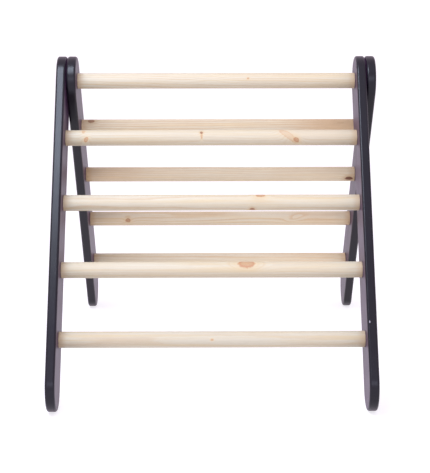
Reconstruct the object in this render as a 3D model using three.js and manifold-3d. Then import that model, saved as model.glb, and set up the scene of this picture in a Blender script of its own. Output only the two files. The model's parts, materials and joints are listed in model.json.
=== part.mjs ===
// Folding toddler climbing frame: two ladders that share a top rung and stand as an A.
// Millimetres, +Z up, rungs along X, front ladder towards -Y.
// The origin is on the floor, under the middle of the top rung.

import * as THREE from 'three';
import { mergeVertices } from 'three/addons/utils/BufferGeometryUtils.js';
import Module from 'manifold-3d';

const wasm = await Module();
wasm.setup();

// ---- driving dimensions ---------------------------------------------------------------

const FRAME_WIDTH = 615; // over the outer rails
const SIDE_GAP = 1.5; // between the two rails that overlap at each side
const OPEN_ANGLE = 65.5; // between the ladders, held by the stop pins
const CLOSED_ANGLE = 31.5; // where each rail's edge meets the other ladder's first rung
const FIT_GAP = 0.3; // left between neighbouring pieces

const RAIL = { length: 700, width: 95, thickness: 18, roundOver: 4, arcSteps: 16 };
const RUNG = { diameter: 30, chamfer: 1.2, pitch: 133, count: 4, sides: 20 };
const FIRST_RUNG = 120.5; // from the pivot axis to the first rung of each ladder

const RUNG_BOLT = { shaft: 6, head: 12, rim: 0.4, inset: 0.3, length: 46, key: 4, keyDepth: 2.5, sides: 10 };
const RUNG_INSERT = { outer: 9.4, length: 25, sides: 10 };
const RUNG_BORE_DEPTH = 36;

const PIVOT_BOLT = { shaft: 8, head: 16, headHeight: 4, length: 66, key: 5, keyDepth: 2.5, sides: 12 };
const PIVOT_INSERT = { outer: 11.4, length: 28, sides: 12 };
const PIVOT_BORE_DEPTH = 42;
const PIVOT_SLEEVE = { outer: 12, sides: 16 };
const COUNTERBORE = { diameter: 17, depth: 4.8 };
const SPACER = { outer: 28, thickness: 0.9 };

const STOP_PIN = { diameter: 6, length: 15, radius: 32, bedded: 8.5, sides: 12 };
const STOP_GROOVE_DEPTH = 6;
const LOCATING_PIN = { diameter: 4, length: 15, offset: 10.5, sides: 10 };

// ---- values worked out from them --------------------------------------------------------

const degrees = THREE.MathUtils.degToRad;
const tilt = degrees(OPEN_ANGLE / 2);
const endRadius = RAIL.width / 2;
const footDistance = RAIL.length - RAIL.width; // pivot axis to the centre of the round foot
const arcStep = Math.PI / RAIL.arcSteps;
// Each foot stands on the flat facet that its lowest arc step makes.
const pivotHeight = footDistance * Math.cos(tilt) + endRadius * Math.cos(arcStep / 2);

// In a ladder's own frame the outer rail is at -X, the inner rail at +X, and -Z runs to the feet.
const outerRailX = { outside: -FRAME_WIDTH / 2, inside: -FRAME_WIDTH / 2 + RAIL.thickness };
const innerRailX = { outside: -outerRailX.inside - SIDE_GAP };
innerRailX.inside = innerRailX.outside - RAIL.thickness;

const rungSpan = innerRailX.inside - outerRailX.inside;
const rungMiddle = (innerRailX.inside + outerRailX.inside) / 2;
const topRungSpan = 2 * innerRailX.inside;
const rungDistances = Array.from({ length: RUNG.count }, (_, i) => FIRST_RUNG + i * RUNG.pitch);

// ---- materials --------------------------------------------------------------------------

const finish = (color, roughness, metalness) =>
  new THREE.MeshStandardMaterial({ color, roughness, metalness });
const lacqueredBoard = finish(0x27272c, 0.4, 0);
const pine = finish(0xe9d6bd, 0.65, 0);
const blackSteel = finish(0x1b1b1d, 0.45, 0.9);
const zincSteel = finish(0xb9bcc0, 0.35, 1);
const brass = finish(0xb08d4a, 0.35, 1);
const nylon = finish(0xdedcd4, 0.55, 0);

// ---- solids -----------------------------------------------------------------------------

function toSolid(geometry) {
  const bare = geometry.clone();
  bare.deleteAttribute('normal');
  bare.deleteAttribute('uv');
  const merged = mergeVertices(bare, 1e-4);
  return new wasm.Manifold(new wasm.Mesh({
    numProp: 3,
    vertProperties: new Float32Array(merged.attributes.position.array),
    triVerts: new Uint32Array(merged.index.array),
  }));
}

function toGeometry(solid) {
  const mesh = solid.getMesh();
  const geometry = new THREE.BufferGeometry();
  geometry.setAttribute('position', new THREE.BufferAttribute(mesh.vertProperties, 3));
  geometry.setIndex(new THREE.BufferAttribute(mesh.triVerts, 1));
  geometry.computeVertexNormals();
  return geometry;
}

function cutAway(geometry, cutters) {
  const solid = cutters.reduce((body, cutter) => body.subtract(toSolid(cutter)), toSolid(geometry));
  return toGeometry(solid);
}

// A solid turned about X from [x, radius] points that run from low X to high X.
function turned(points, sides) {
  const profile = points.map(([x, radius]) => new THREE.Vector2(radius, x));
  return new THREE.LatheGeometry(profile, sides).rotateZ(-Math.PI / 2);
}

function rod(fromX, toX, diameter, sides) {
  const radius = diameter / 2;
  return turned([[fromX, 0], [fromX, radius], [toX, radius], [toX, 0]], sides);
}

// A tube along X: its closed section runs out along the outer wall and back along the bore.
function tube(length, outerDiameter, boreDiameter, sides) {
  const [outer, bore, half] = [outerDiameter / 2, boreDiameter / 2, length / 2];
  return turned([[-half, bore], [-half, outer], [half, outer], [half, bore], [-half, bore]], sides);
}

// Turns a shape drawn in (Y, Z) and extruded by three.js along its own z into one along X.
const shapeToSide = new THREE.Matrix4().makeBasis(
  new THREE.Vector3(0, 1, 0), new THREE.Vector3(0, 0, 1), new THREE.Vector3(1, 0, 0));

// ---- rails ------------------------------------------------------------------------------

// The board's outline: straight sides with a half-round top about the pivot and a half-round foot.
function railOutline() {
  const points = [];
  const addArc = (centre, start) => {
    for (let i = 0; i <= RAIL.arcSteps; i += 1) {
      const angle = start + i * arcStep;
      points.push(new THREE.Vector2(endRadius * Math.cos(angle), centre + endRadius * Math.sin(angle)));
    }
  };
  addArc(0, 0);
  addArc(-footDistance, Math.PI);
  return turnFootFacet(points);
}

// Slides the foot's inner points round the arc until one facet lies level when the ladder stands.
function turnFootFacet(points) {
  const straightDown = -Math.PI / 2 + tilt;
  const stepsAlong = (straightDown + Math.PI) / arcStep;
  const shift = (stepsAlong - Math.floor(stepsAlong) - 0.5) * arcStep;
  const firstFootPoint = RAIL.arcSteps + 1;
  for (let i = 1; i < RAIL.arcSteps; i += 1) {
    const point = points[firstFootPoint + i];
    point.rotateAround(new THREE.Vector2(0, -footDistance), shift);
  }
  return points;
}

function railBoard(lowX) {
  const flatThickness = RAIL.thickness - 2 * RAIL.roundOver;
  return new THREE.ExtrudeGeometry(new THREE.Shape(railOutline()), {
    depth: flatThickness,
    steps: 1,
    bevelThickness: RAIL.roundOver,
    bevelSize: RAIL.roundOver,
    bevelOffset: -RAIL.roundOver,
    bevelSegments: 2,
  }).applyMatrix4(shapeToSide).translate(lowX + RAIL.roundOver, 0, 0);
}

// A bolt hole with a countersunk seat in the face at faceX; inward is +1 or -1 along X.
function boltHole(faceX, inward, distance) {
  const { shaft, head, rim, inset } = RUNG_BOLT;
  const [clearance, mouth] = [shaft / 2 + FIT_GAP, head / 2 + FIT_GAP];
  const coneStart = inset + rim;
  const points = [
    [-1, 0], [-1, mouth], [coneStart, mouth], [coneStart + mouth - clearance, clearance],
    [RAIL.thickness + 1, clearance], [RAIL.thickness + 1, 0],
  ];
  const cutter = turned(points, RUNG_BOLT.sides);
  if (inward < 0) cutter.rotateZ(Math.PI);
  return cutter.translate(faceX, 0, -distance);
}

function pivotHole(lowX) {
  return rod(lowX - 1, lowX + RAIL.thickness + 1, PIVOT_SLEEVE.outer + 2 * FIT_GAP, PIVOT_SLEEVE.sides);
}

// The groove that the other ladder's stop pin runs in, on the inner rail's outside face.
function stopGroove() {
  const half = STOP_PIN.diameter / 2 + FIT_GAP;
  const straightDown = -Math.PI / 2;
  const from = straightDown + degrees(CLOSED_ANGLE);
  const to = straightDown + degrees(OPEN_ANGLE);
  const onCircle = (angle) => [STOP_PIN.radius * Math.cos(angle), STOP_PIN.radius * Math.sin(angle)];
  const slot = new THREE.Shape();
  slot.absarc(0, 0, STOP_PIN.radius + half, from, to, false);
  slot.absarc(...onCircle(to), half, to, to + Math.PI, false);
  slot.absarc(0, 0, STOP_PIN.radius - half, to, from, true);
  slot.absarc(...onCircle(from), half, from + Math.PI, from + 2 * Math.PI, false);
  const extent = { depth: STOP_GROOVE_DEPTH + 1, bevelEnabled: false, curveSegments: 6 };
  return new THREE.ExtrudeGeometry(slot, extent)
    .applyMatrix4(shapeToSide)
    .translate(innerRailX.outside - STOP_GROOVE_DEPTH, 0, 0);
}

function outerRail() {
  const { outside, inside } = outerRailX;
  const counterbore = rod(outside - 1, outside + COUNTERBORE.depth, COUNTERBORE.diameter, PIVOT_SLEEVE.sides);
  const pinHole = rod(inside - STOP_PIN.bedded - FIT_GAP, inside + 1,
    STOP_PIN.diameter + 2 * FIT_GAP, STOP_PIN.sides).translate(0, 0, -STOP_PIN.radius);
  const boltHoles = rungDistances.map((distance) => boltHole(outside, 1, distance));
  return cutAway(railBoard(outside), [pivotHole(outside), counterbore, pinHole, ...boltHoles]);
}

// Only the front ladder's inner rail is drilled for the pin that keeps the top rung from turning.
function innerRail(drilledForLocatingPin) {
  const cutters = rungDistances.map((distance) => boltHole(innerRailX.outside, -1, distance));
  cutters.push(pivotHole(innerRailX.inside), stopGroove());
  if (drilledForLocatingPin) cutters.push(locatingPinHole());
  return cutAway(railBoard(innerRailX.inside), cutters);
}

function locatingPinHole() {
  const reach = LOCATING_PIN.length / 2 + FIT_GAP;
  return rod(innerRailX.inside - reach, innerRailX.inside + reach,
    LOCATING_PIN.diameter + 2 * FIT_GAP, LOCATING_PIN.sides).translate(0, 0, -LOCATING_PIN.offset);
}

// ---- rungs ------------------------------------------------------------------------------

// A dowel with a small chamfer and a blind bore for the threaded insert at each end.
function dowel(length, boreDiameter, boreDepth) {
  const [half, radius, bore] = [length / 2, RUNG.diameter / 2, boreDiameter / 2];
  return turned([
    [-half + boreDepth, 0], [-half + boreDepth, bore], [-half, bore],
    [-half, radius - RUNG.chamfer], [-half + RUNG.chamfer, radius],
    [half - RUNG.chamfer, radius], [half, radius - RUNG.chamfer],
    [half, bore], [half - boreDepth, bore], [half - boreDepth, 0],
  ], RUNG.sides);
}

const ladderRung = dowel(rungSpan - 2 * FIT_GAP, RUNG_INSERT.outer + 2 * FIT_GAP, RUNG_BORE_DEPTH);

function topRung() {
  const plain = dowel(topRungSpan - 2 * FIT_GAP, PIVOT_INSERT.outer + 2 * FIT_GAP, PIVOT_BORE_DEPTH);
  return cutAway(plain, [locatingPinHole()]);
}

// ---- fasteners, each drawn with its head or near end at X = 0 and pointing along +X -------

function hexRecess(acrossFlats, depth) {
  const radius = acrossFlats / 2 / Math.cos(Math.PI / 6);
  return rod(-1, depth, 2 * radius, 6);
}

function countersunkBolt() {
  const { shaft, head, rim, length, key, keyDepth, sides } = RUNG_BOLT;
  const cone = (head - shaft) / 2;
  const body = turned([
    [0, 0], [0, head / 2], [rim, head / 2], [rim + cone, shaft / 2],
    [length - 1, shaft / 2], [length, shaft / 2 - 1], [length, 0],
  ], sides);
  return cutAway(body, [hexRecess(key, keyDepth)]);
}

function pivotBolt() {
  const { shaft, head, headHeight, length, key, keyDepth, sides } = PIVOT_BOLT;
  const body = turned([
    [0, 0], [0, head / 2 - 0.5], [0.5, head / 2], [headHeight, head / 2], [headHeight, shaft / 2],
    [length - 1, shaft / 2], [length, shaft / 2 - 1], [length, 0],
  ], sides);
  return cutAway(body, [hexRecess(key, keyDepth)]);
}

// ---- assembly ---------------------------------------------------------------------------

// Adds a named mesh; facing is +1 when the piece points along +X and -1 when it points along -X.
function place(group, name, geometry, material, x = 0, distance = 0, facing = 1) {
  const mesh = new THREE.Mesh(geometry, material);
  mesh.name = name;
  mesh.position.set(x, 0, -distance);
  mesh.rotation.z = facing > 0 ? 0 : Math.PI;
  group.add(mesh);
}

const rungBolt = countersunkBolt();
const rungInsert = tube(RUNG_INSERT.length, RUNG_INSERT.outer, RUNG_BOLT.shaft + 2 * FIT_GAP,
  RUNG_INSERT.sides);
const rungInsertInset = 2 * FIT_GAP + RUNG_INSERT.length / 2;

// Four rungs between an outer and an inner rail, each bolted from both sides.
function ladder(side, drilledForLocatingPin) {
  const group = new THREE.Group();
  place(group, `${side}_outer_rail`, outerRail(), lacqueredBoard);
  place(group, `${side}_inner_rail`, innerRail(drilledForLocatingPin), lacqueredBoard);
  rungDistances.forEach((distance, i) => {
    const label = i + 1;
    place(group, `${side}_rung_${label}`, ladderRung, pine, rungMiddle, distance);
    place(group, `${side}_outer_bolt_${label}`, rungBolt, blackSteel,
      outerRailX.outside + RUNG_BOLT.inset, distance);
    place(group, `${side}_inner_bolt_${label}`, rungBolt, blackSteel,
      innerRailX.outside - RUNG_BOLT.inset, distance, -1);
    place(group, `${side}_outer_insert_${label}`, rungInsert, brass,
      outerRailX.inside + rungInsertInset, distance);
    place(group, `${side}_inner_insert_${label}`, rungInsert, brass,
      innerRailX.inside - rungInsertInset, distance);
  });
  placeStopPin(group, side);
  return group;
}

// A steel pin bedded in the outer rail; its free end runs in the other ladder's groove.
function placeStopPin(group, side) {
  const pin = rod(-STOP_PIN.bedded, STOP_PIN.length - STOP_PIN.bedded, STOP_PIN.diameter, STOP_PIN.sides);
  place(group, `${side}_stop_pin`, pin, zincSteel, outerRailX.inside, STOP_PIN.radius);
}

// The top rung is the axle: at each end a bolt clamps a sleeve against it, and the rails turn on
// the sleeves. A locating pin ties the rung to the front ladder's inner rail.
function axle() {
  const group = new THREE.Group();
  const headBack = FRAME_WIDTH / 2 - COUNTERBORE.depth + FIT_GAP;
  const rungEnd = topRungSpan / 2 - FIT_GAP;
  const sleeveEnds = [headBack - FIT_GAP, rungEnd + FIT_GAP];
  const sleeve = tube(sleeveEnds[0] - sleeveEnds[1], PIVOT_SLEEVE.outer,
    PIVOT_BOLT.shaft + 2 * FIT_GAP, PIVOT_SLEEVE.sides);
  const insert = tube(PIVOT_INSERT.length, PIVOT_INSERT.outer, PIVOT_BOLT.shaft + 2 * FIT_GAP,
    PIVOT_INSERT.sides);
  const spacer = tube(SPACER.thickness, SPACER.outer, PIVOT_SLEEVE.outer + 2 * FIT_GAP, PIVOT_SLEEVE.sides);
  const bolt = pivotBolt();
  place(group, 'top_rung', topRung(), pine);
  [['left', -1], ['right', 1]].forEach(([end, sign]) => {
    place(group, `pivot_bolt_${end}`, bolt, blackSteel, sign * (headBack + PIVOT_BOLT.headHeight), 0, -sign);
    place(group, `pivot_sleeve_${end}`, sleeve, zincSteel, sign * (sleeveEnds[0] + sleeveEnds[1]) / 2);
    place(group, `pivot_insert_${end}`, insert, brass,
      sign * (rungEnd - FIT_GAP - PIVOT_INSERT.length / 2));
    place(group, `pivot_spacer_${end}`, spacer, nylon, -sign * (outerRailX.inside + SIDE_GAP / 2));
  });
  const locatingPin = rod(-LOCATING_PIN.length / 2, LOCATING_PIN.length / 2,
    LOCATING_PIN.diameter, LOCATING_PIN.sides);
  place(group, 'locating_pin', locatingPin, zincSteel, innerRailX.inside, LOCATING_PIN.offset);
  return group;
}

const climbingFrame = new THREE.Group();

const frontLadder = ladder('front', true);
frontLadder.add(axle());
frontLadder.rotation.x = -tilt;
frontLadder.position.z = pivotHeight;

// The back ladder is the front one turned half round about the vertical.
const backLadder = ladder('back', false);
backLadder.rotation.set(-tilt, 0, Math.PI, 'ZXY');
backLadder.position.z = pivotHeight;

climbingFrame.add(frontLadder, backLadder);

export default climbingFrame;
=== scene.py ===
"""Looks for a folding toddler climbing frame: black lacquered rails and pine rungs on a pale floor."""

import json
import math

import bmesh
import bpy
from bpy.props import FloatProperty, FloatVectorProperty, IntProperty, PointerProperty
from mathutils import Matrix, Vector


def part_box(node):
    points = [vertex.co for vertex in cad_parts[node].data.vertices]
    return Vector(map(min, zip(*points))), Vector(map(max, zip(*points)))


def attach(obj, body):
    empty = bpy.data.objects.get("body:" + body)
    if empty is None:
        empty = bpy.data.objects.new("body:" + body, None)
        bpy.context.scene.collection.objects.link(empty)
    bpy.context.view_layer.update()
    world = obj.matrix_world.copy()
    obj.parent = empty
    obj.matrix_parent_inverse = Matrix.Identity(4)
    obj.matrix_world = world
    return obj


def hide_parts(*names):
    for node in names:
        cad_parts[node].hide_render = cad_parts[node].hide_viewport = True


bl_info = {
    "name": "Toddler Climbing Frame",
    "version": (1, 0, 0),
    "blender": (4, 5, 0),
    "location": "View3D > Sidebar > Climbing Frame",
    "description": "Builds a folding climbing frame's rails, rungs and fittings around its packed frame",
    "category": "Object",
}

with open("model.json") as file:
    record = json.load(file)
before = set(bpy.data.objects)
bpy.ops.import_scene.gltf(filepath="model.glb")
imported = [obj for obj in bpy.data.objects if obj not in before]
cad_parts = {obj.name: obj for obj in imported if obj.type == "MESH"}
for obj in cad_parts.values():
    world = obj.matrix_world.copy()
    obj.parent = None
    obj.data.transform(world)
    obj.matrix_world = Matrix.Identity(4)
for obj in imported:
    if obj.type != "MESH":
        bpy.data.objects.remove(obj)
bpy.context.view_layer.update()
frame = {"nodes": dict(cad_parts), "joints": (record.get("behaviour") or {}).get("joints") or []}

MM = 0.001
ACROSS = Vector((1, 0, 0))  # the rungs' direction
FIT_GAP = 0.3 * MM  # between neighbouring pieces in the packed frame
SEAT_GAP = 0.05 * MM  # left between a rung's end and its rail
KNOTS = 6  # the most that a rung can have


# ---- what the packed frame says ----


def middle(node):
    """The middle of a CAD node's box."""
    low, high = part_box(node)
    return (low + high) / 2


def span(node):
    """The lowest and highest X of a CAD node."""
    low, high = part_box(node)
    return low.x, high.x


def length(node):
    """The length of a CAD node along X."""
    low_x, high_x = span(node)
    return high_x - low_x


def diameter(node):
    """The height of a CAD node's box, which is the diameter of a piece that lies along X."""
    low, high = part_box(node)
    return high.z - low.z


PIVOT = Vector(frame["joints"][0]["pos_m"])


class Ladder:
    """Where one ladder lies: distances run down its rails from the pivot axis."""

    def __init__(self, side):
        self.side = side
        self.body = f"{side}_ladder"
        self.rungs = sorted(n for n in frame["nodes"] if n.startswith(f"{side}_rung_"))
        lowest = middle(self.rungs[-1]) - PIVOT
        self.down = Vector((0, lowest.y, lowest.z)).normalized()
        self.front = self.down.cross(ACROSS)

    def distance(self, node):
        """How far down the ladder from the pivot axis a node's middle lies."""
        offset = middle(node) - PIVOT
        return Vector((0, offset.y, offset.z)).dot(self.down)

    def placement(self):
        """The matrix that takes (x, towards the front, down) to the shared frame."""
        turn = Matrix((ACROSS, self.front, self.down)).transposed()
        return Matrix.Translation((0, PIVOT.y, PIVOT.z)) @ turn.to_4x4()


LADDERS = [Ladder("front"), Ladder("back")]
END_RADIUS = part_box("front_outer_rail")[1].z - PIVOT.z
RUNG_DIAMETER = 30 * MM


def foot_distance(ladder):
    """From the pivot axis to the middle of a rail's round foot."""
    low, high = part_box(f"{ladder.side}_outer_rail")
    reach = (high.y - PIVOT.y if ladder.down.y > 0 else PIVOT.y - low.y) - END_RADIUS
    return reach / abs(ladder.down.y)


# ---- settings ----


def colour_setting(name, description, default, **limits):
    limits = limits or {"max": 1}
    return FloatVectorProperty(
        name=name, description=description, default=default, subtype="COLOR", min=0, **limits)


def length_setting(name, description, default, low, high):
    """A length, given in millimetres."""
    return FloatProperty(name=name, description=description, default=default * MM,
                         min=low * MM, max=high * MM, unit="LENGTH")


def angle_setting(name, description, degrees):
    return FloatProperty(
        name=name, description=description, default=math.radians(degrees), subtype="ANGLE")


def light_setting(name, description, default):
    return FloatProperty(name=name, description=description, default=default, min=0, max=50)


class RailSettings(bpy.types.PropertyGroup):
    """Shape and finish of the four side rails."""

    round_over: length_setting("Round-over", "Radius along every edge of a rail", 4.2, 1, 8)
    arc_steps: IntProperty(
        name="Arc Steps", description="Steps in each half-round end", default=56, min=12, max=128)
    colour: colour_setting("Lacquer", "Colour of the lacquer", (0.0042, 0.0034, 0.0078))
    worn_colour: colour_setting(
        "Worn Lacquer", "Colour where the lacquer is rubbed thin", (0.05, 0.046, 0.055))
    primer: colour_setting(
        "Primer", "Colour under the lacquer, seen where it is chipped", (0.30, 0.28, 0.32))
    dust_film: FloatProperty(
        name="Dust Film", description="Sheen of the fine dust that shows when a rail is seen edge on",
        default=0.08, min=0, max=1, subtype="FACTOR")
    dust_colour: colour_setting("Dust Colour", "Colour of the dust film", (1.0, 0.45, 1.0))


class RungSettings(bpy.types.PropertyGroup):
    """Shape and wood of the rungs."""

    edge: length_setting("Edge", "Width of the chamfer at each end of a rung", 0.6, 0.2, 4)
    sides: IntProperty(
        name="Sides", description="Steps round a rung", default=72, min=16, max=160)
    early_wood: colour_setting(
        "Early Wood", "Colour of the pale part of a growth ring", (0.56, 0.507, 0.395))
    late_wood: colour_setting(
        "Late Wood", "Colour of the dark line of a growth ring", (0.45, 0.275, 0.13))
    pale_knot: colour_setting("Pale Knot", "Colour at the heart of the palest knot", (0.50, 0.25, 0.11))
    knot_rim: colour_setting("Knot Rim", "Colour of the bark round a pale knot", (0.42, 0.17, 0.07))
    dark_knot: colour_setting("Dark Knot", "Colour at the heart of the darkest knot", (0.13, 0.032, 0.012))
    ring_width: length_setting("Ring Width", "Width of one growth ring", 3.2, 0.5, 8)


class FittingSettings(bpy.types.PropertyGroup):
    """Finish of the bolts, sleeves, pins, inserts and spacers."""

    black_steel: colour_setting("Black Steel", "Colour of the blackened bolts", (0.045, 0.045, 0.048))
    zinc_steel: colour_setting("Zinc Steel", "Colour of the sleeves and pins", (0.56, 0.57, 0.58))
    brass: colour_setting("Brass", "Colour of the threaded inserts", (0.62, 0.45, 0.18))
    nylon: colour_setting("Nylon", "Colour of the spacers", (0.62, 0.60, 0.54))


class StageSettings(bpy.types.PropertyGroup):
    """Camera, lights and floor."""

    eye: FloatVectorProperty(
        name="Eye", description="Where the camera stands", subtype="XYZ", unit="LENGTH",
        default=(-0.0175, -2.629, 0.899))
    pitch: angle_setting("Pitch", "How far the camera looks down", 14.015)
    yaw: angle_setting("Yaw", "How far the camera turns to its right", 0.328)
    roll: angle_setting("Roll", "How far the camera leans to its left", -0.061)
    lens: FloatProperty(
        name="Lens", description="Focal length in millimetres on a 36 mm frame",
        default=102.68, min=20, max=300)
    wall: colour_setting(
        "Wall", "Light from the pale walls, up to eye level", (1.06, 1.0, 1.05), soft_max=2)
    ceiling: colour_setting(
        "Ceiling", "Light from the pale ceiling", (0.95, 0.86, 0.935), soft_max=2)
    left_light: light_setting("Left Softbox", "Brightness of the softbox above and to the left", 12.0)
    right_light: light_setting("Right Softbox", "Brightness of the softbox above and to the right", 0.3)
    front_light: light_setting("Front Softbox", "Brightness of the softbox behind the camera", 2.6)
    strip_light: light_setting(
        "Strip Light", "Brightness of the narrow light left of the left softbox", 21.5)
    floor: colour_setting("Floor", "Colour of the floor", (0.35, 0.34, 0.35))
    floor_glow: colour_setting(
        "Floor Glow", "Light that comes through the floor from below", (0.74, 0.725, 0.76))


SETTINGS = {
    "frame_rails": RailSettings,
    "frame_rungs": RungSettings,
    "frame_fittings": FittingSettings,
    "frame_stage": StageSettings,
}


# ---- node trees ----


class Signal:
    """One output of a node. Arithmetic on a signal adds a math node to its tree."""

    def __init__(self, wires, socket):
        self.wires, self.socket = wires, socket

    def __add__(self, other):
        return self.wires.math("ADD", self, other)

    __radd__ = __add__

    def __sub__(self, other):
        return self.wires.math("SUBTRACT", self, other)

    def __rsub__(self, other):
        return self.wires.math("SUBTRACT", other, self)

    def __mul__(self, other):
        return self.wires.math("MULTIPLY", self, other)

    def __truediv__(self, other):
        return self.wires.math("DIVIDE", self, other)


class Signals:
    """The outputs of a node, taken by name or by number."""

    def __init__(self, wires, sockets):
        self.wires, self.sockets = wires, sockets

    def __getitem__(self, key):
        return Signal(self.wires, self.sockets[key])


class Wires:
    """Adds nodes to a tree."""

    def __init__(self, tree):
        self.tree = tree

    def node(self, kind, inputs=None, **settings):
        made = self.tree.nodes.new(kind)
        for name, value in settings.items():
            setattr(made, name, value)
        self.feed(made.inputs, inputs or {})
        return Signals(self, made.outputs)

    def feed(self, targets, values):
        """Links each value that is a signal to its input, and sets the input to any other value."""
        for key, value in values.items():
            if isinstance(value, Signal):
                self.tree.links.new(value.socket, targets[key])
            else:
                targets[key].default_value = value

    def shape(self, kind, inputs=None, **settings):
        """The first output of a geometry node."""
        return self.node(f"GeometryNode{kind}", inputs, **settings)[0]

    def math(self, operation, *values):
        return self.node("ShaderNodeMath", dict(enumerate(values)), operation=operation)[0]

    def vector(self, operation, *values):
        """The vector result, or the number for a length."""
        made = self.node("ShaderNodeVectorMath", dict(enumerate(values)), operation=operation)
        return made["Value" if operation == "LENGTH" else "Vector"]

    def split(self, vector):
        parts = self.node("ShaderNodeSeparateXYZ", {0: vector})
        return parts[0], parts[1], parts[2]

    def join(self, x, y, z):
        return self.node("ShaderNodeCombineXYZ", {0: x, 1: y, 2: z})[0]

    def ramp(self, value, low, high, to_low=0.0, to_high=1.0):
        """Runs smoothly from to_low to to_high as value goes from low to high."""
        return self.node("ShaderNodeMapRange", {0: value, 1: low, 2: high, 3: to_low, 4: to_high},
                         interpolation_type="SMOOTHSTEP")[0]

    def noise(self, place, scale, detail=2.0, roughness=0.5, output=0):
        """Noise, at one scale or at one for each axis. Output 0 is a number and output 1 a colour."""
        if isinstance(scale, tuple):
            place, scale = self.vector("MULTIPLY", place, scale), 1.0
        inputs = {"Vector": place, "Scale": scale, "Detail": detail, "Roughness": roughness}
        return self.node("ShaderNodeTexNoise", inputs)[output]

    def chance(self, seed):
        """A random number and colour for each seed."""
        return self.node("ShaderNodeTexWhiteNoise", {"W": seed}, noise_dimensions="1D")

    def blend(self, factor, a, b):
        """Mixes two colours."""
        return self.node("ShaderNodeMix", {0: factor, 6: a, 7: b}, data_type="RGBA")[2]


def colour4(colour, *tint):
    """A colour with its alpha, multiplied by one number or by one for each channel."""
    tint = tint * 3 if len(tint) == 1 else tint or (1, 1, 1)
    return (*(c * t for c, t in zip(colour, tint)), 1.0)


ZERO = (0, 0, 0)
SOCKETS = {float: "NodeSocketFloat", int: "NodeSocketInt", tuple: "NodeSocketVector"}
GEOMETRY = "NodeSocketGeometry"


def new_tree(name, kind, inputs, outputs):
    """A node group, its wires and both its ends.

    An input is named with its default, or with its kind of socket. A group of shader nodes puts
    out numbers, and any other puts out geometry.
    """
    tree = bpy.data.node_groups.new(name, kind)
    for label, default in inputs.items():
        socket = default if isinstance(default, str) else SOCKETS[type(default)]
        made = tree.interface.new_socket(label, in_out="INPUT", socket_type=socket)
        if socket != default:
            made.default_value = default
    socket = SOCKETS[float] if kind == "ShaderNodeTree" else GEOMETRY
    for label in outputs:
        tree.interface.new_socket(label, in_out="OUTPUT", socket_type=socket)
    wires = Wires(tree)
    return tree, wires, wires.node("NodeGroupInput"), tree.nodes.new("NodeGroupOutput").inputs


def shared_group(make):
    """A shared node group, built the first time that it is asked for."""
    name = make.__name__.removesuffix("_group")
    return bpy.data.node_groups.get(name) or make()


# ---- shared surface effects ----


def knot_group():
    """One knot on a rung.

    Knot holds its place along the rung, its angle round it and its radius; Form holds how far it
    is stretched, how far it leans and how dark it is. A darkness below none fades the knot, and
    from minus a half down the knot only bends the rings.
    """
    tree, w, given, out = new_tree(
        "knot", "ShaderNodeTree",
        {"Place": ZERO, "Ripple": 0.5, "Knot": ZERO, "Form": (1, 0, 0)},
        ["Heart", "Bark", "Halo", "Pull", "Darkness"])
    x, y, z = w.split(given["Place"])
    centre, turn, size = w.split(given["Knot"])
    stretch, lean, darkness = w.split(given["Form"])
    sine, cosine = w.math("SINE", turn), w.math("COSINE", turn)
    height = z * sine - y * cosine
    side = y * sine + z * cosine
    along = x - centre
    lean_sine, lean_cosine = w.math("SINE", lean), w.math("COSINE", lean)
    long_way = (along * lean_cosine + side * lean_sine) / w.math("MAXIMUM", stretch, 0.2)
    short_way = side * lean_cosine - along * lean_sine
    around = w.math("ARCTAN2", short_way, long_way) * 3.0
    radius = w.math("MAXIMUM", size, 1e-5)
    corner = w.math("SINE", around) * (0.04 + radius * 2.5) + 1.0
    share = w.vector("LENGTH", w.join(long_way, short_way, 0.0)) / radius * corner
    rough = share + (given["Ripple"] - 0.5) * 0.7
    facing = w.ramp(height, 0.001, 0.006) * w.ramp(size, 0.0, 0.0001)
    seen = facing * w.ramp(darkness, -0.5, 0.0)
    bark = w.ramp(rough, 0.66, 0.90) * w.ramp(rough, 0.98, 1.22, 1.0, 0.0)
    fall = w.math("EXPONENT", share * share * -0.24)
    w.feed(out, {
        "Heart": w.ramp(rough, 0.82, 1.05, 1.0, 0.0) * seen,
        "Bark": bark * seen,
        "Halo": w.ramp(rough, 0.9, 3.0, 1.0, 0.0) * seen,
        "Pull": fall * radius * (facing * 1.5),
        "Darkness": w.math("MAXIMUM", darkness, 0.0)})
    return tree


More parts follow.
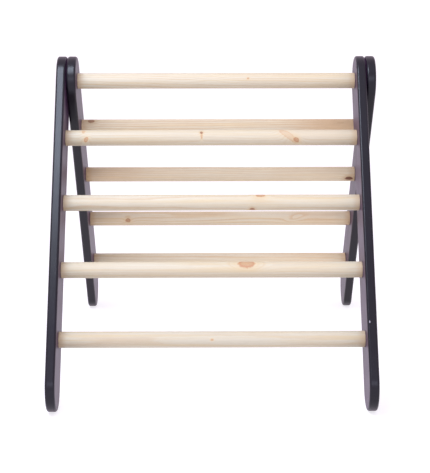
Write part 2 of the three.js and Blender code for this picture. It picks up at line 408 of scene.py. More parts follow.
def growth_ring_group():
    """Growth rings cut through by a rung. Seed moves the tree's heart; Pull bends the rings."""
    tree, w, given, out = new_tree(
        "growth_rings", "ShaderNodeTree",
        {"Place": ZERO, "Seed": 0.0, "Ring Width": 0.003, "Wander": 0.008, "Pull": 0.0},
        ["Late Wood", "Ring Tone", "Fibre", "Streak", "Resin"])
    place, half = given["Place"], (0.5, 0.5, 0.5)
    x, y, z = w.split(place)
    first, second = w.chance(given["Seed"]), w.chance(given["Seed"] + 37.0)
    turn = first["Value"] * math.tau
    off = second["Value"] * 0.030 + 0.012
    lean = w.split(w.vector("SUBTRACT", first["Color"], half))
    stretched = w.vector("MULTIPLY", place, (5.0, 38.0, 38.0))
    moved = w.vector("ADD", stretched, w.join(given["Seed"], 0.0, 0.0))
    wander = w.split(w.vector("SUBTRACT", w.noise(moved, 1.0, output=1), half))

    def from_heart(across, reach, tilt, sway):
        return across + reach + tilt * 0.07 * x + sway * given["Wander"]

    to_heart = w.join(from_heart(y, off * w.math("COSINE", turn), lean[0], wander[0]),
                      from_heart(z, off * w.math("SINE", turn), lean[1], wander[1]), 0.0)
    count = (w.vector("LENGTH", to_heart) + given["Pull"]) / given["Ring Width"]
    part = w.math("FRACT", count)
    dashes = w.noise(place, (160.0, 3200.0, 3200.0), 1)
    w.feed(out, {
        "Late Wood": w.ramp(part, 0.35, 0.85) * w.ramp(part, 0.90, 1.0, 1.0, 0.0),
        "Ring Tone": w.chance(w.math("FLOOR", count))["Value"],
        "Fibre": w.noise(place, (45.0, 1700.0, 1700.0), 3, 0.6),
        "Streak": w.noise(moved, (0.8, 6.0, 6.0), 2, 0.6),
        "Resin": w.ramp(dashes, 0.72, 0.78) * w.ramp(part, 0.3, 0.7)})
    return tree


def handling_group():
    """Wear on the edges, dust and fine scratches, from object coordinates and an edge mask."""
    tree, w, given, out = new_tree(
        "handling", "ShaderNodeTree", {"Place": ZERO, "Edge": 0.0, "Wear": 0.5},
        ["Rubbed", "Dust", "Scratch", "Patch"])
    place = given["Place"]
    patches = w.noise(place, 22.0, 4, 0.6)
    reach = patches * 0.55 + w.noise(place, 260.0, 3, 0.7) * 0.45
    threshold = 0.93 - given["Wear"] * 0.38
    specks = w.noise(place, 900.0, 1)
    first = w.ramp(w.noise(place, (900.0, 60.0, 40.0), 1), 0.735, 0.765)
    second = w.ramp(w.noise(place, (120.0, 1500.0, 900.0), 1), 0.75, 0.78)
    w.feed(out, {
        "Rubbed": w.ramp(given["Edge"] * reach, threshold * 0.82, threshold),
        "Dust": w.ramp(specks, 0.70, 0.80) * w.ramp(patches, 0.35, 0.65),
        "Scratch": w.math("MAXIMUM", first, second) * w.ramp(patches, 0.45, 0.62),
        "Patch": patches})
    return tree


def effect(wires, make, inputs):
    """Places a shared effect in a material and feeds its named inputs."""
    return wires.node("ShaderNodeGroup", inputs, node_tree=shared_group(make))


# ---- materials ----


def new_material(name, **constants):
    """A material with its Principled shader, whose constant inputs are set here."""
    material = bpy.data.materials.new(name)
    material.use_nodes = True
    shader = material.node_tree.nodes["Principled BSDF"]
    for label, value in constants.items():
        shader.inputs[label.replace("_", " ")].default_value = value
    return material, Wires(material.node_tree), shader.inputs


def own_place(wires):
    return wires.node("ShaderNodeTexCoord")["Object"]


def stored(wires, name, output="Fac"):
    """A number, or with output Vector a vector, that is stored on a piece's mesh."""
    return wires.node("ShaderNodeAttribute", attribute_name=name)[output]


def bump(wires, height, distance):
    return wires.node("ShaderNodeBump", {"Strength": 1.0, "Distance": distance, "Height": height})[0]


def chip_place():
    """Where the small chip is, low on the front edge of the front ladder's right rail."""
    ladder = LADDERS[0]
    along = ladder.down * 0.5 + ladder.front * END_RADIUS
    return Vector((span("front_inner_rail")[0] + 4.5 * MM, PIVOT.y, PIVOT.z)) + along


def lacquer(settings):
    """Satin black lacquer on wood: orange-peel skin, grain that shows through, one small chip."""
    material, w, shader = new_material(
        "satin_black_lacquer", IOR=1.36, Sheen_Weight=settings.dust_film, Sheen_Roughness=0.4,
        Sheen_Tint=colour4(settings.dust_colour))
    place = own_place(w)
    signs = effect(w, handling_group, {"Place": place, "Edge": stored(w, "edge"), "Wear": 0.55})
    broad = w.ramp(w.noise(place, 9.0, 3), 0.3, 0.7)
    base = w.blend(broad, colour4(settings.colour, 0.82), colour4(settings.colour, 1.2))
    base = w.blend(signs["Rubbed"] * 0.6, base, colour4(settings.worn_colour))
    base = w.blend(signs["Dust"] * 0.25, base, (0.30, 0.29, 0.30, 1))
    from_chip = w.vector("SUBTRACT", place, chip_place())
    from_chip = w.vector("LENGTH", w.vector("MULTIPLY", from_chip, (1.0, 0.6, 0.6)))
    ragged = w.noise(place, 700, 2) * (1.6 * MM)
    chip = w.ramp(from_chip + ragged, 1.6 * MM, 2.3 * MM, 1.0, 0.0)
    base = w.blend(chip, base, colour4(settings.primer))
    strands = w.noise(stored(w, "board_place", "Vector"), (300.0, 300.0, 9.0), 3, 0.6)
    edge_on = w.ramp(w.node("ShaderNodeLayerWeight", {"Blend": 0.5})["Facing"], 0.55, 0.9)
    rough = 0.25 + signs["Patch"] * 0.10 + edge_on * w.ramp(strands, 0.25, 0.75, 0.08, 0.16)
    rough = rough + signs["Rubbed"] * 0.14 + signs["Scratch"] * 0.10
    peel, sway = w.noise(place, 420.0, 2, 0.45), w.noise(place, 55.0, 2)
    height = peel * 0.35 + sway + strands * 0.3 - signs["Scratch"] * 0.12 - chip * 2.0
    w.feed(shader, {"Base Color": base, "Roughness": rough, "Normal": bump(w, height, 0.00006)})
    return material


def pine(settings):
    """Sanded pine dowel: growth rings, fibres, resin dashes and knots, different for each rung, with
    painted shade at its ends and painted light along it.
    """
    material, w, shader = new_material("sanded_pine", IOR=1.45)
    early, late_wood = settings.early_wood, colour4(settings.late_wood)
    pale_knot, dark_knot = colour4(settings.pale_knot), colour4(settings.dark_knot)
    place, seed, along = stored(w, "grain_place", "Vector"), stored(w, "seed"), stored(w, "along")
    tan, figure, width = w.split(stored(w, "nature", "Vector"))
    left_tan, right_tan, painted_light_slope = w.split(stored(w, "ends", "Vector"))
    ripple = w.noise(place, 300, 3, 0.6)
    knots = [effect(w, knot_group, {
        "Place": place, "Ripple": ripple, "Knot": stored(w, f"knot_{i + 1}", "Vector"),
        "Form": stored(w, f"form_{i + 1}", "Vector")}) for i in range(KNOTS)]
    pull = knots[0]["Pull"]
    for knot in knots[1:]:
        pull = pull + knot["Pull"]
    rings = effect(w, growth_ring_group, {
        "Place": place, "Seed": seed, "Ring Width": width * settings.ring_width, "Pull": pull,
        "Wander": 0.005 + figure * 0.006})
    fibre = rings["Fibre"]
    late = rings["Late Wood"] * w.ramp(rings["Ring Tone"], 0.0, 1.0, 0.35, 1.0) * figure
    wood = w.blend(late, colour4(early), late_wood)
    amber = colour4(early, 1.0, 0.88, 0.68)
    wood = w.blend(w.ramp(rings["Streak"], 0.4, 0.75, 0.0, 0.75), wood, amber)
    broad = w.noise(w.vector("ADD", place, w.join(seed, 0.0, 0.0)), 6.0, 2)
    wood = w.blend(w.ramp(broad, 0.3, 0.7) * tan, wood, colour4(early, 0.92, 0.80, 0.70))
    left = w.ramp(along, -0.85, -0.3, 1.0, 0.0) * left_tan
    right = w.ramp(along, 0.3, 0.85) * right_tan
    # Painted shade: the last few millimetres at each end of a rung are darkened with the tan colour where
    # the rung meets its rail.
    last = w.ramp(w.math("ABSOLUTE", along) + fibre * 0.02, 0.95, 1.0, 0.0, 0.55)
    tan_and_painted_shade = w.math("MINIMUM", last + (left + right), 1.0)
    wood = w.blend(tan_and_painted_shade, wood, colour4(early, 0.87, 0.66, 0.50))
    # Painted light: each rung is painted lighter towards its right end and darker towards its left, and the
    # back ladder's rungs are painted lighter as a whole.
    shade = w.ramp(fibre, 0.25, 0.75, 0.94, 1.04) * stored(w, "paleness") * (1.0 + along * painted_light_slope)
    wood = w.vector("MULTIPLY", wood, w.join(shade, shade, shade))
    wood = w.blend(rings["Resin"] * 0.35, wood, late_wood)
    rough = 0.50 + fibre * 0.16
    rays = w.ramp(w.noise(place, 900, 2), 0.4, 0.6, 0.7, 1.05)
    for knot in knots:
        dark = knot["Darkness"]
        wood = w.blend(knot["Halo"] * 0.55, wood, w.blend(dark, amber, late_wood))
        heart = w.vector("MULTIPLY", w.blend(dark, pale_knot, dark_knot), w.join(rays, rays, rays))
        wood = w.blend(knot["Heart"] * (0.62 + dark * 0.35), wood, heart)
        wood = w.blend(knot["Bark"] * 0.68, wood, w.blend(dark, colour4(settings.knot_rim), dark_knot))
        rough = rough - knot["Heart"] * 0.12
    height = fibre * 0.6 + late * 0.4
    w.feed(shader, {"Base Color": wood, "Roughness": rough, "Normal": bump(w, height, 0.00008)})
    return material


def metal(name, colour, roughness, wear):
    """Plated steel or brass with fine turning marks and rubbed edges."""
    material, w, shader = new_material(name, Metallic=1.0)
    place = own_place(w)
    signs = effect(w, handling_group, {"Place": place, "Edge": stored(w, "edge"), "Wear": wear})
    turning = w.noise(place, (6000.0, 300.0, 300.0), 2)
    base = w.blend(w.ramp(signs["Patch"], 0.3, 0.7), colour4(colour, 0.86), colour4(colour))
    bright = [min(1.0, c * 1.6 + 0.12) for c in colour]
    height = turning - signs["Scratch"] * 0.5
    w.feed(shader, {
        "Base Color": w.blend(signs["Rubbed"], base, colour4(bright)),
        "Roughness": roughness - 0.05 + turning * 0.12 + signs["Scratch"] * 0.1,
        "Normal": bump(w, height, 0.00002)})
    return material


def nylon(colour):
    """Moulded natural nylon with a fine matt grain."""
    material, w, shader = new_material("nylon", IOR=1.53)
    place = own_place(w)
    signs = effect(w, handling_group, {"Place": place, "Edge": 0.0, "Wear": 0.0})
    grain = w.noise(place, 1800.0, 2)
    w.feed(shader, {
        "Base Color": w.blend(w.ramp(signs["Patch"], 0.3, 0.7), colour4(colour), colour4(colour, 0.9)),
        "Roughness": 0.42 + grain * 0.14,
        "Normal": bump(w, grain, 0.00003)})
    return material


def floor_finish(colour, glow):
    """Matt translucent floor, lit from below, with a faint mottle."""
    material, w, shader = new_material("pale_floor", Emission_Strength=1.0)
    mottle = w.noise(own_place(w), 3.0, 3)
    w.feed(shader, {
        "Base Color": w.blend(mottle, colour4(colour), colour4(colour, 0.985)),
        "Emission Color": w.blend(mottle, colour4(glow), colour4(glow, 0.985)),
        "Roughness": 0.72 + mottle * 0.1})
    return material


# ---- rings of vertices ----


def turns(steps):
    """Angles at even steps all the way round."""
    return [math.tau * i / steps for i in range(steps)]


def quarter(steps):
    """Angles at even steps from 0 to 90 degrees."""
    return [math.radians(90 * i / steps) for i in range(steps + 1)]


def add_ring(work, edge, points, wear):
    """A ring of vertices that are all worn alike."""
    ring = [work.verts.new(point) for point in points]
    for vertex in ring:
        vertex[edge] = wear
    return ring


def bridge(work, *rings):
    """Joins each ring to the next with quads."""
    for one, other in zip(rings, rings[1:]):
        for i in range(len(one)):
            j = (i + 1) % len(one)
            work.faces.new((one[i], one[j], other[j], other[i]))


def loop_edges(work, ring):
    """The edges all round a ring, which are added where there are none yet."""
    return [work.edges.get(pair) or work.edges.new(pair) for pair in zip(ring, ring[1:] + ring[:1])]


def finished_mesh(work, name, placement=None):
    """Faces turned outwards, then the mesh moved to its place."""
    bmesh.ops.recalc_face_normals(work, faces=work.faces)
    if placement:
        work.transform(placement)
    data = bpy.data.meshes.new(name)
    work.to_mesh(data)
    work.free()
    return data


# ---- rails ----


CORNER_STEPS = 10  # in the round-over
MOUTH_STEPS = 3  # in the eased mouth of a pocket
MOUTH_WEAR = 0.7
BOLT_HOLE = 3.3 * MM  # radius of the hole for a rung's bolt
HEAD_RECESS = 4.8 * MM  # depth of the recess for the pivot bolt's head
STOP_HOLE, STOP_GROOVE = 8.8 * MM, 6 * MM  # depths of the stop pin's hole and of its groove


def stadium(length, radius, steps):
    """The outline of a board with half-round ends as (towards the front, down) points."""
    points = []
    for centre, start in ((0.0, math.pi), (length, 0.0)):
        for i in range(steps + 1):
            angle = start + math.pi * i / steps
            points.append((radius * math.cos(angle), centre + radius * math.sin(angle)))
    return points


def circle(centre, radius, steps):
    """Points round a circle in the plane of a board."""
    return [(centre[0] + radius * math.cos(a), centre[1] + radius * math.sin(a)) for a in turns(steps)]


def arc_slot(radius, start, end, half_width, steps):
    """The outline of a round-ended slot that follows a circle about the pivot."""

    def point(reach, angle):
        return reach * math.sin(angle), reach * math.cos(angle)

    def side(reach, first, last):
        return [point(reach, first + (last - first) * i / steps) for i in range(steps + 1)]

    def cap(angle, first_turn):
        centre = point(radius, angle)
        round_end = [point(half_width, first_turn + math.pi * i / steps) for i in range(1, steps)]
        return [(centre[0] + x, centre[1] + y) for x, y in round_end]

    outer, inner = side(radius + half_width, start, end), side(radius - half_width, end, start)
    return outer + cap(end, end) + inner + cap(start, start + math.pi)


class BoardBuilder:
    """Builds one closed board: rings round its outline, two flat faces and pockets sunk into them."""

    def __init__(self, low_x, high_x):
        self.mesh = bmesh.new()
        self.edge = self.mesh.verts.layers.float.new("edge")
        self.place = self.mesh.verts.layers.float_vector.new("board_place")
        self.low_x, self.high_x = low_x, high_x
        self.face_edges = {"low": [], "high": []}

    def ring(self, x, points, wear=0.0):
        ring = add_ring(self.mesh, self.edge, [(x, *point) for point in points], wear)
        for vertex in ring:
            vertex[self.place] = vertex.co
        return ring

    def outline(self, length, radius, round_over, steps):
        """The rounded edge all round, from the low face to the high face."""
        inmost = round_over + 0.4 * MM  # on the flat face, where nothing rubs
        rows = [(0.0, inmost, 0.0)]
        rows += [(round_over * (1 - math.cos(a)), round_over * (1 - math.sin(a)), math.sin(2 * a))
                 for a in quarter(CORNER_STEPS)]
        rows.append((inmost, 0.0, 0.0))
        thickness = self.high_x - self.low_x
        rows += [(thickness - x, inset, wear) for x, inset, wear in reversed(rows)]
        rings = [self.ring(self.low_x + x, stadium(length, radius - inset, steps), wear)
                 for x, inset, wear in rows]
        bridge(self.mesh, *rings)
        self.face_edges["low"] += loop_edges(self.mesh, rings[0])
        self.face_edges["high"] += loop_edges(self.mesh, rings[-1])

    def pocket(self, side, shape, profile, through=False):
        """Sinks a pocket from a face. shape(offset) is its outline; profile lists (depth, offset)."""
        face_x, way, far = (self.low_x, 1, "high") if side == "low" else (self.high_x, -1, "low")
        rings = [self.ring(face_x + way * depth, shape(offset), MOUTH_WEAR if 0 < i <= MOUTH_STEPS else 0.0)
                 for i, (depth, offset) in enumerate(profile)]
        bridge(self.mesh, *rings)
        self.face_edges[side] += loop_edges(self.mesh, rings[0])
        if through:
            self.face_edges[far] += loop_edges(self.mesh, rings[-1])
        else:
            self.mesh.faces.new(rings[-1])

    def finish(self, name, placement):
        for edges in self.face_edges.values():
            bmesh.ops.triangle_fill(self.mesh, use_beauty=True, edges=edges)
        return finished_mesh(self.mesh, name, placement)


def softened(depth_profile):
    """A pocket's profile with its mouth eased by a small radius, inside a ring that stays flat."""
    ease = 0.3 * MM
    mouth = depth_profile[0][1]
    eased = [(ease * (1 - math.cos(a)), mouth + ease * (1 - math.sin(a))) for a in quarter(MOUTH_STEPS)]
    return [(0.0, mouth + 2 * ease), *eased, *depth_profile[1:]]


def rail_mesh(ladder, role, settings):
    """One rail with its bolt seats, pivot hole and the pin hole or groove of the stop."""
    node = f"{ladder.side}_{role}_rail"
    low_x, high_x = span(node)
    outside, inside = ("low", "high") if high_x < 0 else ("high", "low")
    thickness = high_x - low_x
    board = BoardBuilder(low_x, high_x)
    board.outline(foot_distance(ladder), END_RADIUS, settings.round_over, settings.arc_steps)

    head, rim = diameter(f"{ladder.side}_{role}_bolt_1") / 2, 0.7 * MM
    seat = [(0.0, head + 0.25 * MM), (rim, head + 0.25 * MM), (rim + head - BOLT_HOLE, BOLT_HOLE),
            (thickness, BOLT_HOLE)]
    for rung in ladder.rungs:
        centre = (0.0, ladder.distance(rung))
        board.pocket(outside, lambda r, c=centre: circle(c, r, steps=40), softened(seat), through=True)

    sleeve = diameter("pivot_sleeve_left") / 2 + FIT_GAP
    shaft = [(0.0, sleeve), (thickness, sleeve)]
    if role == "outer":
        recess = diameter("pivot_bolt_left") / 2 + 0.55 * MM
        shaft = [(0.0, recess), (HEAD_RECESS, recess), (HEAD_RECESS, sleeve), (thickness, sleeve)]
    board.pocket(outside, lambda r: circle((0.0, 0.0), r, steps=48), softened(shaft), through=True)

    pin_radius = diameter("front_stop_pin") / 2 + FIT_GAP
    pin_distance = ladder.distance(f"{ladder.side}_stop_pin")
    if role == "outer":
        hole = [(0.0, pin_radius), (STOP_HOLE, pin_radius)]
        board.pocket(inside, lambda r: circle((0.0, pin_distance), r, steps=24), softened(hole))
    else:
        groove = [(0.0, pin_radius), (STOP_GROOVE, pin_radius)]
        board.pocket(outside, stop_slot(ladder, pin_distance), softened(groove))
    return board.finish(node, ladder.placement())


def stop_slot(ladder, pin_distance):
    """The outline of the groove that the other ladder's pin runs in, for any half width."""
    other = next(each for each in LADDERS if each is not ladder)
    opening = math.acos(max(-1.0, min(1.0, ladder.down.dot(other.down))))
    travel = math.radians(abs(frame["joints"][0]["range_deg"][0]))
    toward = 1 if other.down.dot(ladder.front) > 0 else -1
    start, end = sorted((toward * opening, toward * (opening - travel)))
    return lambda half_width: arc_slot(pin_distance, start, end, half_width, steps=10)


# ---- turned pieces ----


def turned_group():
    """Turns the incoming line of (x, radius) points about X into a closed skin."""
    tree, w, given, out = new_tree(
        "turned", "GeometryNodeTree", {"Profile": GEOMETRY, "Sides": 48}, ["Mesh"])
    size = w.node("GeometryNodeAttributeDomainSize", {0: given["Profile"]})["Point Count"]
    grid = w.shape("MeshGrid", {
        "Size X": 1.0, "Size Y": 1.0, "Vertices X": size, "Vertices Y": given["Sides"] + 1})
    position = w.shape("InputPosition")
    row, column, _ = w.split(position)
    index = w.math("ROUND", (row + 0.5) * (size - 1))
    inputs = {"Geometry": given["Profile"], "Value": position, "Index": index}
    x, _, radius = w.split(w.shape("SampleIndex", inputs, data_type="FLOAT_VECTOR", clamp=True))
    angle = (column + 0.5) * math.tau
    place = w.join(x, radius * w.math("COSINE", angle), radius * w.math("SINE", angle))
    skin = w.shape("SetPosition", {"Geometry": grid, "Position": place})
    w.feed(out, {"Mesh": w.shape("MergeByDistance", {"Geometry": skin, "Distance": 1e-6})})
    return tree


def piece_tree(name, inputs):
    """A tree for whole pieces, which ends in one mesh with the material that it is given."""
    tree, w, given, out = new_tree(
        name, "GeometryNodeTree", {**inputs, "Material": "NodeSocketMaterial"}, ["Mesh"])

    def end(mesh):
        real = w.shape("RealizeInstances", {"Geometry": mesh})
        w.feed(out, {"Mesh": w.shape("SetMaterial", {"Geometry": real, "Material": given["Material"]})})
        return tree

    return w, given, end


def turned(wires, given):
    """The turned group, placed in a piece's tree."""
    inputs = {"Profile": given["Profile"], "Sides": given["Sides"]}
    return wires.shape("Group", inputs, node_tree=shared_group(turned_group))


OWN_NUMBERS = ["seed", "paleness"]
OWN_VECTORS = ["nature", "ends", *(f"{part}_{i + 1}" for i in range(KNOTS) for part in ("knot", "form"))]


def rung_tree():
    """A rung: the turned dowel with a slight bow, its grain's own coordinates, seed and knots."""
    w, given, end = piece_tree("rung", {
        "Profile": GEOMETRY, "Sides": 64, "Length": 0.5, "Centre": ZERO, "Bow": ZERO,
        **dict.fromkeys(OWN_NUMBERS, 0.0), **dict.fromkeys(OWN_VECTORS, ZERO)})
    mesh = turned(w, given)
    own = w.shape("InputPosition")
    share = w.split(own)[0] / (given["Length"] * 0.5)
    kept = [("FLOAT_VECTOR", "grain_place", own), ("FLOAT", "along", share)]
    kept += [("FLOAT", label, given[label]) for label in OWN_NUMBERS]
    kept += [("FLOAT_VECTOR", label, given[label]) for label in OWN_VECTORS]
    for kind, label, value in kept:
        inputs = {"Geometry": mesh, "Name": label, "Value": value}
        mesh = w.shape("StoreNamedAttribute", inputs, data_type=kind, domain="POINT")
    swell = 1.0 - share * share
    bend = w.vector("MULTIPLY", given["Bow"], w.join(swell, swell, swell))
    place = w.vector("ADD", bend, given["Centre"])
    mesh = w.shape("SetPosition", {"Geometry": mesh, "Offset": place})
    return end(w.shape("SetShadeSmooth", {"Geometry": mesh, "Shade Smooth": True}))


def pin_tree():
    """A turned piece moved to its place."""
    w, given, end = piece_tree("pin", {"Profile": GEOMETRY, "Sides": 40, "Centre": ZERO})
    return end(w.shape("SetPosition", {"Geometry": turned(w, given), "Offset": given["Centre"]}))


def row_tree():
    """Copies of one fitting in a straight row down a rail."""
    w, given, end = piece_tree("row", {
        "Mesh": GEOMETRY, "Count": 4, "First": ZERO, "Step": ZERO, "Facing": "NodeSocketRotation"})
    line = w.shape("MeshLine", {
        "Count": given["Count"], "Start Location": given["First"], "Offset": given["Step"]}, mode="OFFSET")
    return end(w.shape("InstanceOnPoints", {
        "Points": line, "Instance": given["Mesh"], "Rotation": given["Facing"]}))


def grown(name, seed_mesh, tree, values):
    """Runs a geometry tree on a mesh and returns the result as a plain object of its own."""
    source = new_object(f"{name}_source", seed_mesh)
    modifier = source.modifiers.new("grow", "NODES")
    modifier.node_group = tree
    sockets = {item.name: item.identifier for item in tree.interface.items_tree
               if item.item_type == "SOCKET" and item.in_out == "INPUT"}
    for label, value in values.items():
        modifier[sockets[label]] = value
    source.update_tag()
    graph = bpy.context.evaluated_depsgraph_get()
    made = bpy.data.meshes.new_from_object(source.evaluated_get(graph), depsgraph=graph)
    made.name = name
    bpy.data.objects.remove(source)
    bpy.data.meshes.remove(seed_mesh)
    return new_object(name, made)


def new_object(name, mesh):
    made = bpy.data.objects.new(name, mesh)
    bpy.context.scene.collection.objects.link(made)
    return made


def line_mesh(name, points):
    """A line of (x, radius) points for the turned group."""
    mesh = bpy.data.meshes.new(name)
    edges = [(i, i + 1) for i in range(len(points) - 1)]
    mesh.from_pydata([(x, 0.0, radius) for x, radius in points], edges, [])
    return mesh


def rung_profile(length, radius, edge, bore, depth):
    """A dowel's half section: a blind bore and an eased chamfer at each end."""
    half, rim = length / 2, 0.4 * MM
    ease = 0.25 * edge
    reach = half - edge - 3 * ease
    end = [(half - depth, 0.0), (half - depth, bore), (half - rim, bore), (half, bore + rim),
           (half, radius - edge - ease), (half - 0.3 * ease, radius - edge - 0.3 * ease),
           (half - edge + 0.3 * ease, radius - 0.3 * ease), (half - edge - ease, radius),
           (reach, radius)]
    parts = 24
    between = [(reach * (2 * i / parts - 1), radius) for i in range(1, parts)]
    return [(-x, r) for x, r in end] + between + list(reversed(end))


def tidy(made):
    """Outward normals, smooth curved faces, and sharp edges where the surface turns hard."""
    work = bmesh.new()
    work.from_mesh(made.data)
    bmesh.ops.recalc_face_normals(work, faces=work.faces)
    for face in work.faces:
        face.smooth = len(face.verts) == 4  # the flat faces are filled with triangles
    work.to_mesh(made.data)
    work.free()
    made.data.set_sharp_from_angle(angle=math.radians(35))
    return made


# ---- fittings ----


def lathe(name, profile, sides, hexagon=None):
    """A piece turned about X, starting at its head; hexagon is the recess as (across flats, depth)."""
    work = bmesh.new()
    edge = work.verts.layers.float.new("edge")
    rings = [add_ring(work, edge, around(x, radius, sides), wear) for x, radius, wear in profile]
    bridge(work, *rings)
    if hexagon:
        sink_hexagon(work, edge, rings[0], *hexagon)
        work.faces.new(rings[-1])
    else:
        bridge(work, rings[-1], rings[0])
    return finished_mesh(work, name)


def around(x, radius, steps):
    """Points of a circle about the X axis."""
    return [(x, radius * math.cos(turn), radius * math.sin(turn)) for turn in turns(steps)]


def sink_hexagon(work, edge, rim, flats, depth):
    """Sinks a hexagon recess with an eased mouth into the flat face inside the rim."""
    face_x, ease = rim[0].co.x, 0.25 * MM
    corner = flats / 2 / math.cos(math.pi / 6)
    rings = [add_ring(work, edge, around(face_x + x, corner + grow, 6), wear)
             for x, grow, wear in ((0.0, ease, 1.0), (ease, 0.0, 0.4), (depth, 0.0, 0.0))]
    bridge(work, *rings)
    bottom = work.verts.new((face_x + depth + 0.5 * MM, 0, 0))
    for i in range(6):
        work.faces.new((rings[-1][i], rings[-1][(i + 1) % 6], bottom))
    loops = loop_edges(work, rim) + loop_edges(work, rings[0])
    bmesh.ops.triangle_fill(work, use_beauty=True, edges=loops)


def threads(start, end, radius, pitch):
    """A run of thread crests as profile points, each crest a ring."""
    rows = []
    for i in range(int((end - start) / pitch)):
        x = start + i * pitch
        rows += [(x, radius - 0.55 * pitch, 0.0), (x + 0.5 * pitch, radius, 0.8)]
    return rows


def countersunk_bolt(node):
    """A countersunk hexagon-socket bolt, its head's face at X = 0 and its tip towards +X."""
    head, shank, rim, tip = diameter(node) / 2, 3 * MM, 0.4 * MM, length(node)
    profile = [(0.0, head - 0.15 * MM, 0.6), (0.15 * MM, head, 1.0), (rim, head, 0.8),
               (rim + head - shank, shank, 0.0), (18.5 * MM, shank, 0.0)]
    profile += threads(19 * MM, tip - 1.2 * MM, shank, 1.0 * MM)
    profile += [(tip - 1 * MM, shank - 0.6 * MM, 0.0), (tip, shank - 1 * MM, 0.0)]
    return lathe("bolt", profile, sides=36, hexagon=(4 * MM, 2.5 * MM))


def pivot_bolt(node):
    """The pivot's bolt with a low cylinder head, face at X = 0 and tip towards +X."""
    head, shank, deep, tip = diameter(node) / 2 + 0.1 * MM, 4 * MM, 4 * MM, length(node)
    ease = 0.5 * MM
    profile = [(0.0, head - ease, 0.6), (0.15 * ease, head - 0.5 * ease, 1.0),
               (0.5 * ease, head - 0.15 * ease, 1.0), (ease, head, 0.8), (deep, head, 0.5),
               (deep, shank, 0.0), (38 * MM, shank, 0.0)]
    profile += threads(38.5 * MM, tip - 1.4 * MM, shank, 1.25 * MM)
    profile += [(tip - 1 * MM, shank - 0.8 * MM, 0.0), (tip, shank - 1.2 * MM, 0.0)]
    return lathe("pivot_bolt", profile, sides=48, hexagon=(5 * MM, 2.5 * MM))


def threaded_insert(node, bore):
    """A brass insert: coarse outer thread, plain bore, centred on X = 0."""
    outer, half = diameter(node) / 2, length(node) / 2
    profile = [(-half, bore, 0.5), (-half, outer - 1.2 * MM, 0.6)]
    profile += threads(-half + 0.8 * MM, half - 1.5 * MM, outer, 2.2 * MM)
    profile += [(half - 0.6 * MM, outer - 1.2 * MM, 0.3), (half, outer - 1.4 * MM, 0.6), (half, bore, 0.5)]
    return lathe("insert", profile, sides=32)


def ring_piece(node, bore, ease):
    """A sleeve or spacer with eased rims, centred on X = 0."""
    outer, half = diameter(node) / 2, length(node) / 2
    profile = [(-half, bore + ease, 0.6), (-half, outer - ease, 0.8), (-half + ease, outer, 0.8),
               (half - ease, outer, 0.8), (half, outer - ease, 0.8), (half, bore + ease, 0.6),
               (half - ease, bore, 0.0), (-half + ease, bore, 0.0)]
    return lathe(node, profile, sides=64)


def solid_pin(node):
    """A ground steel pin with eased ends, centred on X = 0."""
    radius, half = diameter(node) / 2, length(node) / 2
    ease = 0.24 * radius
    low = [(-half, 0.0), (-half, radius - ease), (-half + 0.3 * ease, radius - 0.3 * ease),
           (-half + ease, radius)]
    return line_mesh(node, low + [(-x, r) for x, r in reversed(low)])


# ---- building steps ----


def dress(made, material, body, slot, *nodes):
    """Gives a finished piece its material and its body, and hides the CAD nodes it stands for. The slot is
    not used.
    """
    if material is not None:
        made.data.materials.clear()
        made.data.materials.append(material)
    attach(made, body)
    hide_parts(*nodes)


def body_of(node):
    """The body of a piece that belongs to one ladder. The top rung is the front ladder's."""
    return "back_ladder" if node.startswith("back") else "front_ladder"


class FRAME_OT_rails(bpy.types.Operator):
    """Build the four side rails"""

    bl_idname = "climbing_frame.rails"
    bl_label = "Rails"

    def execute(self, context):
        settings = context.scene.frame_rails
        finish = lacquer(settings)
        for ladder in LADDERS:
            for role in ("outer", "inner"):
                node = f"{ladder.side}_{role}_rail"
                made = tidy(new_object(f"{node}_board", rail_mesh(ladder, role, settings)))
                dress(made, finish, ladder.body, "rail_lacquer", node)
        return {"FINISHED"}


class Grain:
    """The wood of one rung: a seed, how pale it is, in part painted light that makes the back ladder's
    rungs lighter, how tan, how figured, how wide its rings, its knots.

    ends says how tan the left and the right end are and how much lighter, as painted light, the rung
    is painted at the right end than in the middle. A knot is its share of the length from the left,
    degrees up from the side that faces the front, radius in millimetres, stretch, lean in degrees
    and darkness: 0 is pale, 1 is darkest, and below 0 the knot fades until at -0.5 it only bends
    the rings.
    """

    def __init__(self, seed, paleness, tan, figure, width, *knots, ends=(0, 0, 0)):
        self.seed = seed
        self.paleness = paleness
        self.nature = (tan, figure, width)
        self.knots = knots
        self.ends = ends
